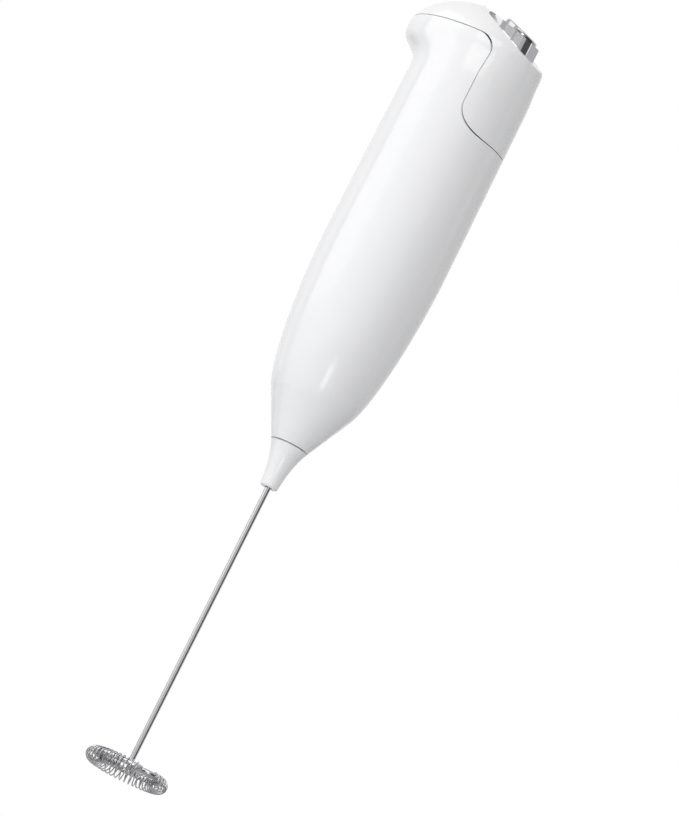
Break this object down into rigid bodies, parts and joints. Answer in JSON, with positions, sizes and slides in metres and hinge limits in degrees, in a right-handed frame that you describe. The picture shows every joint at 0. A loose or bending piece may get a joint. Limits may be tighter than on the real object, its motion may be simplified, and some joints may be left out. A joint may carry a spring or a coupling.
{
  "type": "milk frother",
  "caption": "Battery hand frother: white tapered handle with thumb lip, lift-off cap with a chrome push button on its slope, and a spinning wire whisk ringed by a close coil.",
  "frame": {"origin": "on the handle's axis at the middle of the hand grip", "axes": "+Z along the axis from the whisk to the cap, +X towards the sloped face with the button, Y across, mirror plane XZ of the handle and cap"},
  "size_m": [0.0415, 0.0348, 0.2311],
  "materials": {
    "gloss_white_abs": "gloss moulded white ABS",
    "chromed_abs": "bright chrome plating, spun ridges on the button",
    "stainless_wire": "drawn and polished stainless wire",
    "zinc_steel": "bright zinc plating",
    "sintered_bronze": "sintered bronze",
    "copper_wire": "enamelled copper winding",
    "nickel_brass": "nickel plated brass",
    "grey_nylon": "moulded nylon",
    "black_abs": "moulded black ABS",
    "black_rubber": "moulded rubber",
    "ferrite": "sintered ferrite",
    "carbon": "pressed carbon",
    "cell_label": "plain shrink sleeve",
    "board_laminate": "glass epoxy board"
  },
  "bodies": {
    "handle": {"handle_shell": "gloss_white_abs", "nose_cone": "gloss_white_abs", "shaft_bushing": "sintered_bronze", "nose_seal": "black_rubber", "motor_can": "zinc_steel", "motor_end_bell": "black_abs", "motor_front_bearing": "sintered_bronze", "motor_rear_bearing": "sintered_bronze", "motor_magnets": "ferrite", "motor_brushes": "carbon", "motor_terminals": "nickel_brass", "motor_sleeve": "black_rubber", "inner_chassis": "grey_nylon", "battery_cell_1": "cell_label", "battery_cell_2": "cell_label", "spring_contact": "nickel_brass", "flat_contact": "nickel_brass", "chassis_screws": "zinc_steel"},
    "cap": {"cap_shell": "gloss_white_abs", "cap_gasket": "black_rubber", "button_bezel": "chromed_abs", "button_spring": "stainless_wire", "switch_body": "black_abs", "switch_terminals": "nickel_brass", "switch_holder": "grey_nylon", "bezel_screws": "zinc_steel", "contact_board": "board_laminate", "contact_leaves": "nickel_brass"},
    "button": {"button_cap": "chromed_abs", "switch_plunger": "grey_nylon"},
    "drive": {"armature_core": "zinc_steel", "armature_windings": "copper_wire", "commutator": "copper_wire", "motor_shaft": "zinc_steel", "shaft_coupling": "grey_nylon", "whisk_wire": "stainless_wire", "whisk_coil": "stainless_wire"}
  },
  "joints": [
    {"name": "whisk_spin", "type": "hinge", "parent": "handle", "child": "drive", "pos_m": [0, 0, 0], "axis": [0, 0, 1], "continuous": true},
    {"name": "cap_slide", "type": "slide", "parent": "handle", "child": "cap", "axis": [0, 0, 1], "range_m": [0, 0.06]},
    {"name": "button_press", "type": "slide", "parent": "cap", "child": "button", "axis": [-0.4726, 0, -0.8813], "range_m": [0, 0.0015], "stiffness_N_per_m": 300, "springref_m": -0.003, "deforming": ["button_spring"]}
  ]
}
